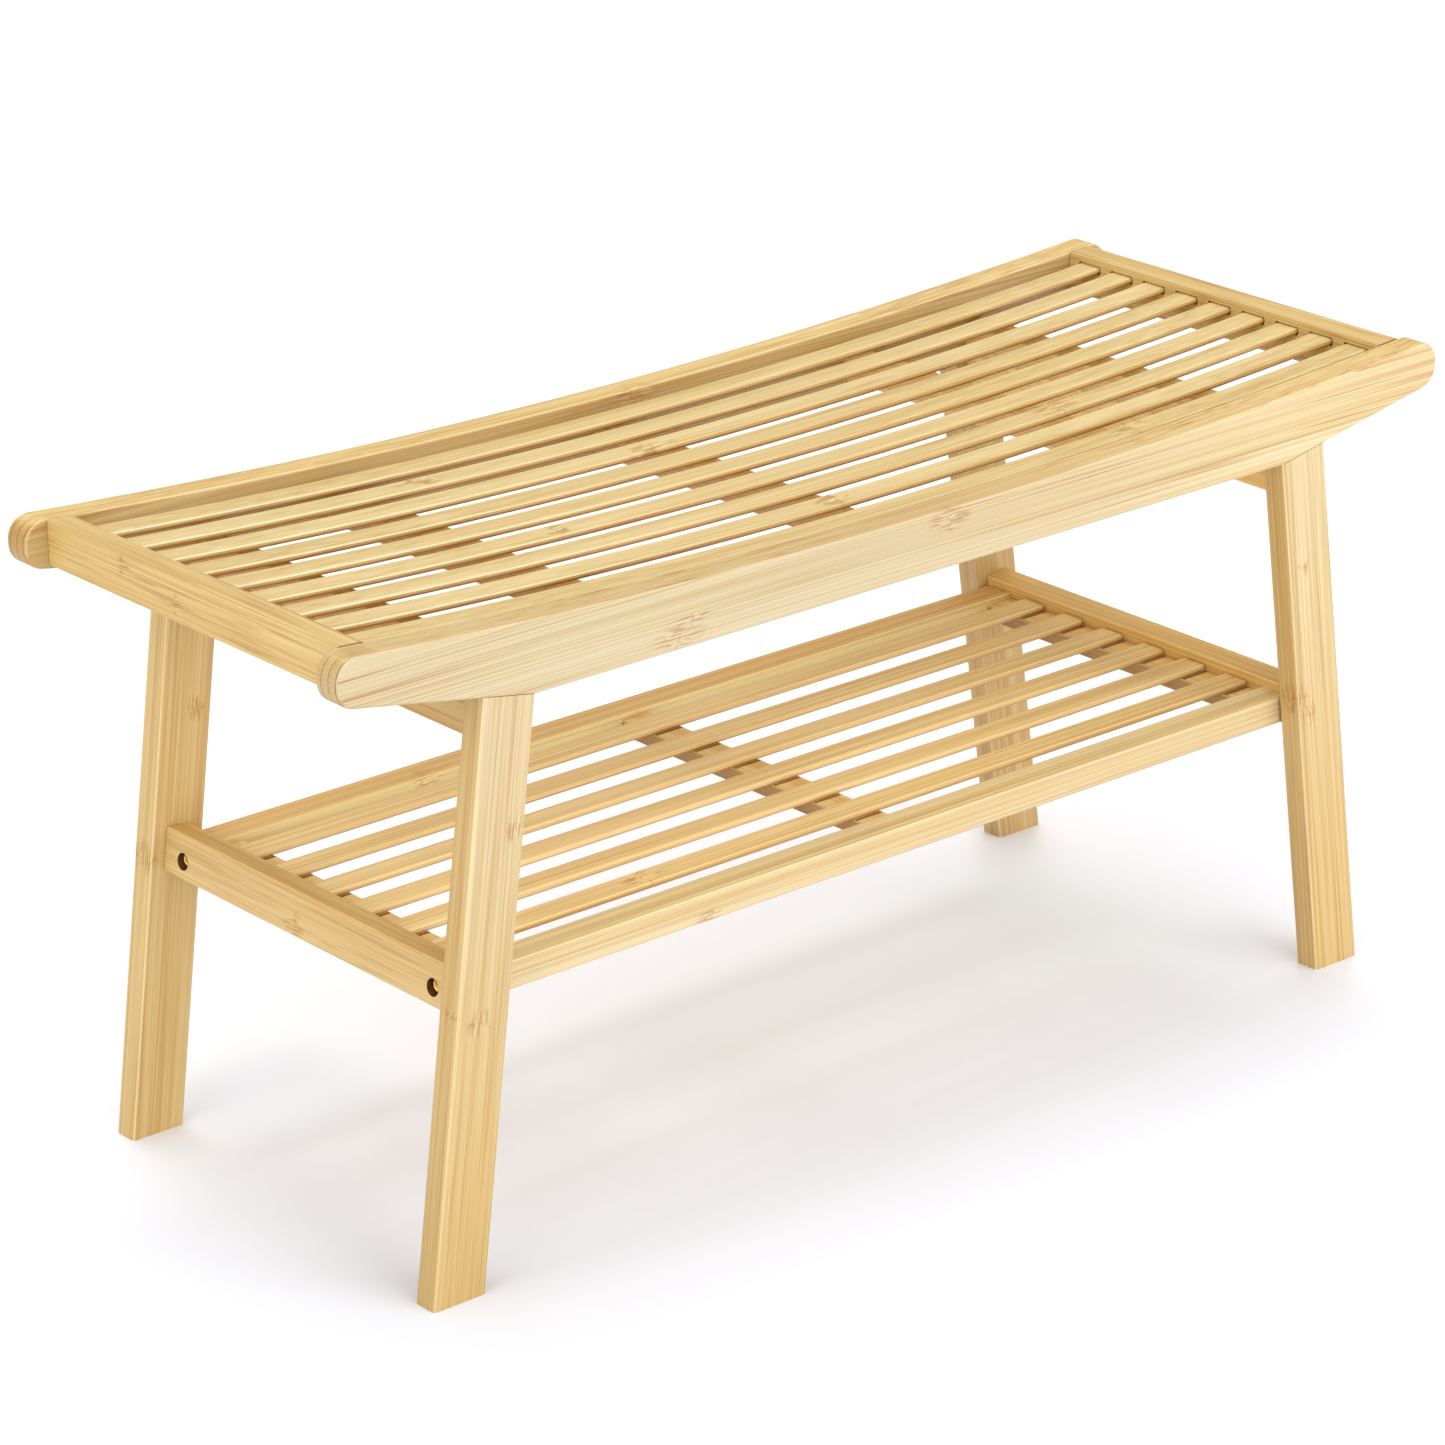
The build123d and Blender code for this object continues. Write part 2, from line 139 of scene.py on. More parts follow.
def bamboo(
    name, turn, strip, layer, tone, seed, run=0.25, veins=0.30, vein_gain=(0.64, 0.44, 0.24),
    vein_width=1.0, glue=0.0, glue_shift=0.0, marks=(), fleck=0.0010, stray=0.0, shade=None,
    drift=None, drift_sides=False, sides=None, tops=None, under=None, polish=0.3, polish_range=None,
):
    """Lacquered laminated bamboo.

    The cane runs along X after the turn. Strips are strip wide and layer thick, in metres, and tone is
    their middle colour. sides, tops and under change it with painted light and
    shadow on the faces across the layers and on those that look up and down. run is the length of the
    grain. veins, vein_gain and vein_width are the strength, colour and width of the dark threads. glue is
    the strength of the glue lines, moved by glue_shift. marks are (point, reach along, reach across) of
    cane joints, whose broken fibres are fleck wide, and stray is how often others show. shade
    gives a mask of painted shadow in recesses and gaps, and of dark joint lines, from x, y, z.
    drift is (axis, start, end, gain), a slow change of painted light and shadow along the piece,
    with drift_sides only on the faces across the layers. polish is the strength of a painted pale
    highlight on the rounded edges, or how much darker they are where it is negative, and
    polish_range is (axis, start, end) over which it comes in.
    """
    material, shader, wire, place = blank(name)
    here = place.parts()
    along, across, inward = wire.node("ShaderNodeMapping", None, {"Vector": place, "Rotation": turn}).parts()
    normal = wire.node("ShaderNodeNewGeometry", None, None, 1)
    leaning = {"Vector": normal, "Rotation": turn}
    facing = wire.node("ShaderNodeMapping", {"vector_type": "NORMAL"}, leaning).parts()
    upward = normal.parts()[2]
    across_layers = abs(facing[1]).fade(0.40, 0.95)

    # every strip has its own tone and its own length of cane
    strip_number = (across / strip + seed * 0.37).math("FLOOR")
    layer_number = ((inward - glue_shift) / layer).math("FLOOR")
    cell = wire.node("ShaderNodeCombineXYZ", None, {0: strip_number, 1: layer_number, 2: seed * 7.0})
    chance = wire.node("ShaderNodeTexWhiteNoise", {"noise_dimensions": "3D"}, {0: cell}, 1)
    strip_tone, phase, strength = chance.parts()

    def grain(length, width, detail, shift):
        stretched = {0: along / length + phase * 5.0 + shift, 1: across / width, 2: inward / width}
        vector = wire.node("ShaderNodeCombineXYZ", None, stretched)
        sockets = {"Vector": vector, "Scale": 1.0, "Detail": detail, "Roughness": 0.55}
        return wire.node("ShaderNodeTexNoise", None, sockets)

    fibre_width, vein_spacing, cloud_length, cloud_width = 0.0013, 0.0050, 0.22, 0.0300
    fibre = grain(run, fibre_width, 3.0, seed)
    vein = grain(run * 2, vein_spacing, 1.0, seed + 3.0)
    cloud = grain(cloud_length, cloud_width, 1.0, seed + 9.0)
    depth = (strip_tone - 0.5) * 0.28 + (fibre - 0.5) * 1.8 + (vein - 0.5) * 0.4 + (cloud - 0.5) * 0.4
    deep_gain, pale_gain = (0.80, 0.68, 0.46), (1.13, 1.22, 1.46)
    stops = [(0.0, tinted(tone, deep_gain)), (0.5, tone), (1.0, tinted(tone, pale_gain))]
    colour = wire.node("ShaderNodeValToRGB", {"stops": stops}, {0: depth + 0.5})

    # thin brown threads between the fibres
    thread_spacing, patch_width = 0.0026, 0.0110
    brown = tinted(tone, vein_gain)
    from_thread = abs(grain(run, thread_spacing, 1.0, seed + 17.0) - 0.5)
    thread = from_thread.fade(0.110 * vein_width, 0.025 * vein_width)
    patch = grain(run, patch_width, 1.0, seed + 23.0).fade(0.42, 0.64)
    colour = colour.blend(thread * patch * veins, brown)

    # cane joints: short broken brown fibres among paler flecks, and a jagged ring across the cane
    dash_length, jog_reach, zigzag_reach = 0.013, 0.012, 0.016
    ring_edge, ring_core = 0.0013, 0.0004
    fleck_gain = (1.14, 1.14, 1.25)
    dash = grain(dash_length, fleck, 1.0, seed + 2.0)
    jog = (grain(0.03, 0.006, 1.0, seed + 5.0) - 0.5) * jog_reach
    zigzag = (grain(0.05, fleck * 1.6, 1.0, seed + 11.0) - 0.5) * zigzag_reach
    scar = ring = None
    if stray:
        cane_length = 0.31
        gap = abs((along / cane_length + phase).math("FRACT") - 0.5) * cane_length
        scar = (gap + jog).fade(0.0110, 0.0020) * strength.fade(1.0 - stray, 1.0 - stray * 0.6)
    for point, reach, width in marks:
        spot = Euler(turn).to_matrix() @ Vector(point)
        away = ((along - spot.x + jog) / reach).math("POWER", 2.0)
        away = away + ((across - spot.y) / width).math("POWER", 2.0)
        away = away + ((inward - spot.z) / width).math("POWER", 2.0)
        broken = away.fade(1.0, 0.15)
        crack = abs(along - spot.x + zigzag).fade(ring_edge, ring_core) * away.fade(1.0, 0.5)
        scar = scar.larger(broken) if scar else broken
        ring = ring.larger(crack) if ring else crack
    if scar:
        colour = colour.blend(scar * dash.fade(0.50, 0.60) * 0.75, brown)
    if ring:
        colour = colour.blend(ring * 0.55, brown)
    if scar:
        colour = colour.blend(scar * dash.fade(0.44, 0.36) * 0.50, tinted(tone, fleck_gain))

    # painted light and shade on the faces across the layers and on those facing up and down, and sawn ends
    # with deeper, speckled end grain
    speck_scale, end_gain = 900.0, (0.92, 0.75, 0.45)
    if sides:
        colour = colour.blend(across_layers, sides, "MULTIPLY")
    if tops:
        colour = colour.blend(upward.fade(0.45, 0.80), tops, "MULTIPLY")
    if under:
        colour = colour.blend(upward.fade(0.10, -0.40), under, "MULTIPLY")
    speck = wire.node("ShaderNodeTexNoise", None, {"Vector": place, "Scale": speck_scale, "Detail": 1.0})
    end_grain = abs(facing[0]).fade(0.30, 0.75)
    colour = colour.blend(end_grain * (speck.fade(0.35, 0.65) * 0.5 + 0.4), tinted(tone, end_gain))

    # glue lines between the layers
    if glue:
        seam_edge, seam_core, seam_gain = 0.00060, 0.00015, (0.36, 0.25, 0.11)
        from_seam = abs(((inward - glue_shift) / layer).math("FRACT") - 0.5) * layer
        seam = from_seam.fade(layer / 2 - seam_edge, layer / 2 - seam_core)
        seam = seam * (vein.fade(0.30, 0.50) * 0.5 + 0.5)
        colour = colour.blend(seam * (end_grain * 0.6 + glue), tinted(tone, seam_gain))

    # painted light and shade changing slowly along the piece
    if drift:
        axis, start, end, gain = drift
        amount = here[axis].fade(start, end)
        if drift_sides:
            amount = amount * across_layers
        colour = colour.blend(amount, gain, "MULTIPLY")

    # a painted pale highlight on rounded edges, or where its strength is negative a darker line along them
    rubbed_gain, dirt_gain = (1.32, 1.58, 2.40), (0.55, 0.40, 0.24)
    roundness = abs(facing[2]) * (1.0 - facing[2] * facing[2]).larger(0.0).math("SQRT") * 2.0
    rubbed = roundness.fade(0.80, 1.0) * upward.fade(-0.35, -0.10) * abs(polish)
    if polish_range:
        axis, start, end = polish_range
        rubbed = rubbed * here[axis].fade(start, end)
    colour = colour.blend(rubbed, tinted(tone, rubbed_gain if polish > 0 else dirt_gain))

    # painted shade in recesses and gaps, and dark joint lines
    if shade:
        recess_gain = (0.16, 0.09, 0.06)
        colour = colour.blend(shade(*here), tinted(tone, recess_gain))

    rough = 0.36 + fibre * 0.12
    bump = wire.node("ShaderNodeBump", None, {"Strength": 0.10, "Distance": 0.0003, "Height": fibre})
    colour.feed(shader, "Base Color")
    rough.feed(shader, "Roughness")
    bump.feed(shader, "Normal")
    shader.inputs["Specular IOR Level"].default_value = 0.30
    shader.inputs["Coat Weight"].default_value = 0.06
    shader.inputs["Coat Roughness"].default_value = 0.25
    return material


def dress(material, *nodes):
    """Give CAD nodes their finish."""
    for node in nodes:
        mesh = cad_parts[node].data
        mesh.materials.clear()
        mesh.materials.append(material)


splay = math.radians(7.4)
leg_turn = {"left": math.pi / 2 - splay, "right": math.pi / 2 + splay}
leg_tone = (0.47, 0.31, 0.115)
leg_marks = {
    "left": [
        ((-0.3848, -0.1785, 0.1901), 0.011, 0.012),
        ((-0.4120, -0.1700, 0.2000), 0.014, 0.015),
        ((-0.3530, -0.1785, 0.3162), 0.012, 0.008),
        ((-0.4019, 0.1690, 0.2005), 0.015, 0.014),
        ((-0.3596, 0.1585, 0.3016), 0.012, 0.008),
    ],
    "right": [
        ((0.3575, -0.1730, 0.2190), 0.018, 0.013),
        ((0.3690, -0.1785, 0.2060), 0.014, 0.008),
        ((0.3575, -0.1785, 0.3201), 0.010, 0.006),
    ],
}
# Each leg's tone is brightened by its own painted gain at the foot for the light it gets, and changes towards
# the top with painted light and shade.
foot_gain = {
    ("front", "left"): (1.19, 1.22, 1.24), ("front", "right"): (1.26, 1.29, 1.34),
    ("back", "left"): (1.27, 1.34, 1.42), ("back", "right"): (1.24, 1.27, 1.50),
}
top_gain = {
    ("front", "left"): (1.02, 1.18, 1.80), ("front", "right"): (1.02, 1.17, 1.62),
    ("back", "left"): (1.12, 1.14, 1.22), ("back", "right"): (0.96, 0.98, 0.92),
}
leg_height = 0.40
for number, (end, side) in enumerate(foot_gain):
    leg_bamboo = bamboo(
        f"{end}_{side}_leg_bamboo", (0, leg_turn[side], 0), strip=0.0205, layer=0.0071,
        tone=tinted(leg_tone, foot_gain[end, side]), seed=1.3 + number * 1.7, marks=leg_marks[side],
        drift=(2, 0.0, leg_height, top_gain[end, side]), drift_sides=True, polish=0.6,
    )
    dress(leg_bamboo, f"{end}_{side}_leg")

# Frame rails: a cross rail under the seat and a shelf rail at mid height hold each pair of legs. They are
# laminated bamboo laid front to back, tenoned and glued into the legs' inner faces. A bolt sinks into each
# end of the shelf rails, through a drilled recess whose wall is painted dark with shade.
depthwise = (0, 0, -math.pi / 2)
leg_face = 0.1585
bolt_y, bolt_z = 0.1375, 0.204
bolt_recess_radius = 0.0062
recess_edge = 0.00015
joint_line_edge, joint_line_core = 0.0010, 0.0002


# Painted shade on the wall of each bolt recess, and a dark joint line where the rail meets the leg.
def frame_rail_shade(x, y, z):
    from_bolt = ((abs(y) - bolt_y).math("POWER", 2.0) + (z - bolt_z).math("POWER", 2.0)).math("SQRT")
    drilled = from_bolt.fade(bolt_recess_radius, bolt_recess_radius - recess_edge)
    return drilled.larger(abs(y).fade(leg_face - joint_line_edge, leg_face - joint_line_core) * 0.5)


# The left and right rails are lit and shaded copies of one bamboo: the right one is painted paler against the
# seat's shadow, and the tops are painted lighter on the left and darker on the right.
left_rail_bamboo = bamboo(
    "left_rail_bamboo", depthwise, strip=0.0066, layer=0.0160, tone=(0.60, 0.400, 0.150), seed=4.1, run=0.14,
    marks=[((-0.390, 0.0102, 0.1983), 0.013, 0.011)], shade=frame_rail_shade, tops=(1.15, 1.12, 0.97),
    polish=0.10,
)
dress(left_rail_bamboo, "left_shelf_rail", "left_cross_rail")
right_rail_bamboo = bamboo(
    "right_rail_bamboo", depthwise, strip=0.0066, layer=0.0160, tone=(0.86, 0.565, 0.190), seed=9.4, run=0.14,
    shade=frame_rail_shade, tops=(0.82, 0.80, 0.71), polish=0.35,
)
dress(right_rail_bamboo, "right_shelf_rail", "right_cross_rail")

# Shelf beams: two square lengths of laminated bamboo between the shelf rails, bolted through the rails into
# threaded inserts in their ends. Their long edges are rounded over.
lengthwise = (0, 0, 0)
# The front and back beams are lit and shaded copies of one bamboo, with painted light and shade on their
# front and back faces and tops, and a painted highlight on their long edges; the back beam is painted darker
# towards the right end.
front_beam_bamboo = bamboo(
    "front_beam_bamboo", lengthwise, strip=0.0083, layer=0.0100, tone=(0.725, 0.53, 0.22), seed=5.9, run=0.5,
    marks=[((-0.1750, -0.1565, 0.1960), 0.014, 0.008)], sides=(0.84, 0.86, 1.06), tops=(1.01, 1.06, 1.18),
    polish=0.40,
)
dress(front_beam_bamboo, "front_shelf_beam")
back_beam_bamboo = bamboo(
    "back_beam_bamboo", lengthwise, strip=0.0083, layer=0.0100, tone=(0.87, 0.59, 0.20), seed=8.6, run=0.5,
    marks=[((-0.1902, 0.1315, 0.214), 0.020, 0.014)], sides=(0.88, 1.0, 1.27), tops=(0.80, 0.75, 0.77),
    drift=(0, 0.0, 0.36, (0.92, 0.90, 0.86)), polish=0.40,
)
dress(back_beam_bamboo, "back_shelf_beam")

# Shelf battens: three flat cross pieces of plain bamboo under the slats, which are pinned to them. A line of
# painted shade runs on each batten along the front of each slat, where its rounded edge lifts off, and the
# battens' side faces are painted darker with shade.
shelf_slat_pitch = 0.0424
slat_width = 0.0215
slat_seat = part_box("middle_shelf_batten")[1][2]
shadow_start, shadow_full = 0.920, 0.950


def batten_shade(x, y, z):
    from_front = ((y + slat_width / 2) / shelf_slat_pitch + 0.5).math("FRACT")
    upper_face = z.fade(slat_seat - 0.0003, slat_seat - 0.0001)
    return from_front.fade(shadow_start, shadow_full) * upper_face * 0.85


batten_bamboo = bamboo(
    "batten_bamboo", depthwise, strip=0.0090, layer=0.0120, tone=(0.80, 0.54, 0.20), seed=7.7,
    shade=batten_shade, sides=(0.52, 0.43, 0.36), polish=0.1,
)
dress(batten_bamboo, "left_shelf_batten", "middle_shelf_batten", "right_shelf_batten")

# Shelf slats: six thin strips of bamboo with rounded edges, laid side by side on the battens and pinned
# from below, level with the tops of the beams.
bend_points = 33
edge_points = 6


def node_group(name, kinds):
    """A geometry tree with named inputs: itself, a wire for its nodes, what goes in and its sizes."""
    tree = bpy.data.node_groups.new(name, "GeometryNodeTree")
    tree.interface.new_socket("Geometry", in_out="INPUT", socket_type="NodeSocketGeometry")
    for label, kind in kinds.items():
        tree.interface.new_socket(label, in_out="INPUT", socket_type=f"NodeSocket{kind}")
    tree.interface.new_socket("Geometry", in_out="OUTPUT", socket_type="NodeSocketGeometry")
    wire = Wire(tree)
    given = wire.node("NodeGroupInput").socket.node
    size = {label: Wire(tree, given.outputs[label]) for label in kinds}
    return tree, wire, Wire(tree, given.outputs["Geometry"]), size


def slat_row():
    """Node tree for a row of slats along X, all bent to one shallow curve."""
    tree, wire, _, size = node_group("slat_row", {
        "Count": "Int", "Pitch": "Float", "Width": "Float", "Thickness": "Float", "Edge Radius": "Float",
        "Half Length": "Float", "Curvature": "Float", "Top": "Float", "Finish": "Material",
    })

    def vector(x=0.0, y=0.0, z=0.0):
        return wire.node("ShaderNodeCombineXYZ", None, {0: x, 1: y, 2: z})

    half = size["Half Length"]
    ends = {"Start": vector(half * -1.0), "End": vector(half)}
    path = wire.node("GeometryNodeCurvePrimitiveLine", None, ends)
    path = wire.node("GeometryNodeResampleCurve", None, {"Curve": path, "Count": bend_points})
    x = wire.node("GeometryNodeInputPosition").parts()[0]
    rise = vector(0.0, 0.0, x * x * size["Curvature"] * 0.5)
    path = wire.node("GeometryNodeSetPosition", None, {"Geometry": path, "Offset": rise})
    path = wire.node("GeometryNodeSetCurveNormal", {"mode": "Z_UP"}, {"Curve": path})
    section = wire.node(
        "GeometryNodeCurvePrimitiveQuadrilateral", None, {"Width": size["Width"], "Height": size["Thickness"]}
    )
    section = wire.node(
        "GeometryNodeFilletCurve", {"mode": "POLY"},
        {"Curve": section, "Count": edge_points, "Radius": size["Edge Radius"], "Limit Radius": True},
    )
    sweep = {"Curve": path, "Profile Curve": section, "Fill Caps": True}
    slat = wire.node("GeometryNodeCurveToMesh", None, sweep)
    middle = size["Top"] - size["Thickness"] * 0.5
    first = vector(0.0, (size["Count"] - 1.0) * size["Pitch"] * -0.5, middle)
    places = wire.node(
        "GeometryNodeMeshLine", None,
        {"Count": size["Count"], "Start Location": first, "Offset": vector(0.0, size["Pitch"])},
    )
    row = wire.node("GeometryNodeInstanceOnPoints", None, {"Points": places, "Instance": slat})
    row = wire.node("GeometryNodeRealizeInstances", None, {0: row})
    row = wire.node("GeometryNodeSetShadeSmooth", None, {"Geometry": row, "Shade Smooth": False})
    row = wire.node("GeometryNodeSetMaterial", None, {"Geometry": row, "Material": size["Finish"]})
    row.feed(tree.nodes.new("NodeGroupOutput"), 0)
    return tree


def placed(name, data):
    """A new object in the scene."""
    made = bpy.data.objects.new(name, data)
    bpy.context.scene.collection.objects.link(made)
    return made


def grown(name, tree, sizes, mesh=None):
    """A piece made by a node tree, kept as a plain mesh."""
    piece = placed(name, mesh or bpy.data.meshes.new(name))
    modifier = piece.modifiers.new(name, "NODES")
    modifier.node_group = tree
    for item in tree.interface.items_tree:
        if item.in_out == "INPUT" and item.name in sizes:
            modifier[item.identifier] = sizes[item.name]
    evaluated = piece.evaluated_get(bpy.context.evaluated_depsgraph_get())
    plain = bpy.data.meshes.new_from_object(evaluated)
    piece.modifiers.clear()
    piece.data = plain
    return piece


def settle(piece, slot, *nodes):
    """Fix a finished piece to the bench in place of its CAD nodes."""
    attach(piece, "root")
    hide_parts(*nodes)


def slat_finish(name, pitch, **looks):
    """Bamboo of thin slats, four strips to a pitch and one layer deep."""
    return bamboo(name, lengthwise, strip=pitch / 4, layer=0.500, run=0.4, fleck=0.0040, **looks)


slat_thickness = 0.0048
slat_end_gap = 0.0004
slat_tree = slat_row()
shelf_slat_nodes = [f"shelf_slat_{number}" for number in range(1, 7)]
shelf_slat_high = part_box("shelf_slat_3")[1]
# The shelf slats are painted paler for the light they lose under the seat, with painted shade on their side
# faces and undersides and towards the right end, and a faint painted highlight on their edges.
shelf_slat_bamboo = slat_finish(
    "shelf_slat_bamboo", shelf_slat_pitch, tone=(0.86, 0.63, 0.27), seed=6.3,
    marks=[((-0.1912, -0.1060, 0.2140), 0.020, 0.012)], sides=(0.84, 0.81, 0.80), under=(0.70, 0.54, 0.36),
    drift=(0, 0.02, 0.36, (0.88, 0.86, 0.80)), polish=0.12,
)
shelf_slats = grown(
    "shelf_slats", slat_tree,
    {
        "Count": len(shelf_slat_nodes), "Pitch": shelf_slat_pitch, "Width": slat_width,
        "Thickness": slat_thickness, "Edge Radius": 0.0018, "Half Length": shelf_slat_high[0] - slat_end_gap,
        "Curvature": 0.0, "Top": shelf_slat_high[2], "Finish": shelf_slat_bamboo,
    },
)
settle(shelf_slats, "bamboo", *shelf_slat_nodes)

# Shelf bolts: four brass-plated socket-head bolts, turned and rolled from steel bar, driven through the
# shelf rails into the beams with their heads sunk below the rails' outer faces.


def skin(name, loops):
    """A closed mesh over rings of points, with the first and the last ring filled."""
    shape = bmesh.new()
    rings = [[shape.verts.new(point) for point in loop] for loop in loops]
    for one, two in zip(rings, rings[1:]):
        for side in range(len(one)):
            after = (side + 1) % len(one)
            shape.faces.new((one[side], one[after], two[after], two[side]))
    shape.faces.new(rings[0])
    shape.faces.new(rings[-1])
    bmesh.ops.recalc_face_normals(shape, faces=shape.faces)
    mesh = bpy.data.meshes.new(name)
    shape.to_mesh(mesh)
    shape.free()
    return mesh


def socket_bolt(name):
    """A bolt along +X with the outer face of its head at the origin."""
    head_radius, head_height = 0.005, 0.0045
    shank_radius, shank_length = 0.003, 0.040
    tip_length, tip_taper = 0.001, 0.0008
    rim, rim_steps = 0.0006, 9
    key, key_depth, key_lip = 0.0030, 0.0026, 0.0003
    corners = 48

    def hexagon(angle):
        return key / math.cos((angle + math.pi / 6) % (math.pi / 3) - math.pi / 6)

    rings = [(key_depth, hexagon), (key_lip, hexagon), (0.0, lambda angle: hexagon(angle) + key_lip)]
    for step in range(rim_steps + 1):
        bend = math.radians(90 / rim_steps * step)
        radius = head_radius - rim + rim * math.sin(bend)
        rings.append((rim * (1 - math.cos(bend)), lambda angle, r=radius: r))
    rings.append((head_height, lambda angle: head_radius))
    rings.append((head_height, lambda angle: shank_radius))
    rings.append((head_height + shank_length - tip_length, lambda angle: shank_radius))
    rings.append((head_height + shank_length, lambda angle: shank_radius - tip_taper))
    angles = [2 * math.pi * corner / corners for corner in range(corners)]
    return skin(name, [
        [(depth, radius(angle) * math.cos(angle), radius(angle) * math.sin(angle)) for angle in angles]
        for depth, radius in rings
    ])


def bolt_set():
    """Node tree that sets one bolt at the four corners of a rectangle, turned to face outwards."""
    tree, wire, bolt, size = node_group("bolt_set", {
        "Half Spread X": "Float", "Half Spread Y": "Float", "Height": "Float", "Tilt": "Float",
        "Turn": "Float", "Finish": "Material",
    })
    spread = {"Size X": size["Half Spread X"] * 2.0, "Size Y": size["Half Spread Y"] * 2.0}
    corners = wire.node("GeometryNodeMeshGrid", None, {**spread, "Vertices X": 2, "Vertices Y": 2})
    lift = wire.node("ShaderNodeCombineXYZ", None, {2: size["Height"]})
    corners = wire.node("GeometryNodeSetPosition", None, {"Geometry": corners, "Offset": lift})
    side = wire.node("GeometryNodeInputPosition").parts()[0].math("SIGN")
    turned = {1: side * size["Tilt"] * -1.0, 2: (side + 1.0) * 0.5 * size["Turn"]}
    facing = wire.node("ShaderNodeCombineXYZ", None, turned)
    bolts = wire.node(
        "GeometryNodeInstanceOnPoints", None, {"Points": corners, "Instance": bolt, "Rotation": facing}
    )
    bolts = wire.node("GeometryNodeRealizeInstances", None, {0: bolts})
    bolts = wire.node("GeometryNodeSetMaterial", None, {"Geometry": bolts, "Material": size["Finish"]})
    bolts.feed(tree.nodes.new("NodeGroupOutput"), 0)
    return tree


def metal(name, bright, dull, stain_scale):
    """Plated metal with fine turning marks and a little tarnish."""
    material, shader, wire, place = blank(name)
    fine_scale = 2400.0
    stain = wire.node("ShaderNodeTexNoise", None, {"Vector": place, "Scale": stain_scale, "Detail": 2.0})
    fine = wire.node("ShaderNodeTexNoise", None, {"Vector": place, "Scale": fine_scale, "Detail": 1.0})
    colour = wire.node("ShaderNodeValToRGB", {"stops": [(0.35, dull), (0.62, bright)]}, {0: stain})
    rough = 0.18 + fine * 0.18
    colour.feed(shader, "Base Color")
    rough.feed(shader, "Roughness")
    shader.inputs["Metallic"].default_value = 1.0
    return material


def head_centre(node, outward):
    """Middle of the head's outer face of the bolt at the front right of a CAD node."""
    corners = [v.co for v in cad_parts[node].data.vertices if v.co.x > 0 and v.co.y < 0]
    furthest = max(co.dot(outward) for co in corners)
    rim = [co for co in corners if co.dot(outward) > furthest - 1e-5]
    low = Vector([min(co[axis] for co in rim) for axis in range(3)])
    high = Vector([max(co[axis] for co in rim) for axis in range(3)])
    return (low + high) / 2


bolt_tree = bolt_set()
brass = metal("brass_plate", (1.0, 0.80, 0.36), (0.85, 0.57, 0.15), 350.0)
bolt_place = head_centre("shelf_bolts", Vector((1, 0, 0)))
shelf_bolts = grown(
    "sunk_shelf_bolts", bolt_tree,
    {
        "Half Spread X": bolt_place.x, "Half Spread Y": -bolt_place.y, "Height": bolt_place.z,
        "Tilt": 0.0, "Turn": math.pi, "Finish": brass,
    },
    socket_bolt("shelf_bolt"),
)
settle(shelf_bolts, "bolt", "shelf_bolts")
steel = metal("zinc_plate", (0.62, 0.62, 0.60), (0.42, 0.42, 0.41), 410.0)
dress(steel, "shelf_inserts")

# Side rails: two boards of laminated bamboo on edge, sawn to a dished top and a level underside that flares
# up at the ends to round noses. The edges are rounded over; the glue lines show across the noses.
half_length = 0.4875
dish_radius = 6.240
dish_axis = 0.44325 + dish_radius
underside = 0.4015
flare_start = 0.3337
flare = math.radians(10.4)
nose = 0.0155
rail_round = 0.0022
rail_inner, rail_outer = 0.1575, 0.1795


def side_rail_outline():
    """Points of the rail's outline in X and Z, counter-clockwise from the middle of the underside."""
    flat_steps, flare_steps, nose_steps, dish_steps = 12, 8, 24, 48
    nose_x = half_length - nose
    right = [Vector((flare_start * step / flat_steps, underside)) for step in range(flat_steps + 1)]
    low = Vector((nose_x, underside + (nose_x - flare_start) * math.tan(flare)))
    low.y += nose / math.cos(flare)
    high = Vector((nose_x, dish_axis - math.sqrt((dish_radius + nose) ** 2 - nose_x ** 2)))
    tip = math.asin(nose_x / (dish_radius + nose))
    flat = Vector((flare_start, underside))
    tangent = low + nose * Vector((math.sin(flare), -math.cos(flare)))
    right += [flat.lerp(tangent, step / flare_steps) for step in range(1, flare_steps)]
    for step in range(nose_steps + 1):
        angle = -math.pi / 2 + flare + (math.pi / 2 - flare) * step / nose_steps
        right.append(low + nose * Vector((math.cos(angle), math.sin(angle))))
    for step in range(nose_steps + 1):
        angle = (math.pi / 2 + tip) * step / nose_steps
        right.append(high + nose * Vector((math.cos(angle), math.sin(angle))))
    for step in range(1, dish_steps + 1):
        angle = tip * (1 - step / dish_steps)
        right.append(Vector((dish_radius * math.sin(angle), dish_axis - dish_radius * math.cos(angle))))
    left = [Vector((-point.x, point.y)) for point in reversed(right[1:-1])]
    return right + left


def rounded_board(name, outline, low, high, radius, segments=5):
    """A board of that outline between two Y planes, its edges rounded over."""
    leaning = []
    for number in range(len(outline)):
        run = (outline[(number + 1) % len(outline)] - outline[number - 1]).normalized()
        leaning.append(Vector((-run.y, run.x)))
    bends = [math.pi / 2 * (1 - step / segments) for step in range(segments + 1)]
    levels = [(low + radius * (1 - math.sin(bend)), radius * (1 - math.cos(bend))) for bend in bends]
    levels += [(low + high - y, inset) for y, inset in reversed(levels)]
    loops = []
    for y, inset in levels:
        points = [point + lean * inset for point, lean in zip(outline, leaning)]
        loops.append([(point.x, y, point.y) for point in points])
    return placed(name, skin(name, loops))


on_edge = (math.pi / 2, 0, 0)
rail_layer = {"strip": 0.0208, "layer": 0.0072, "glue": 0.30, "glue_shift": -0.178}
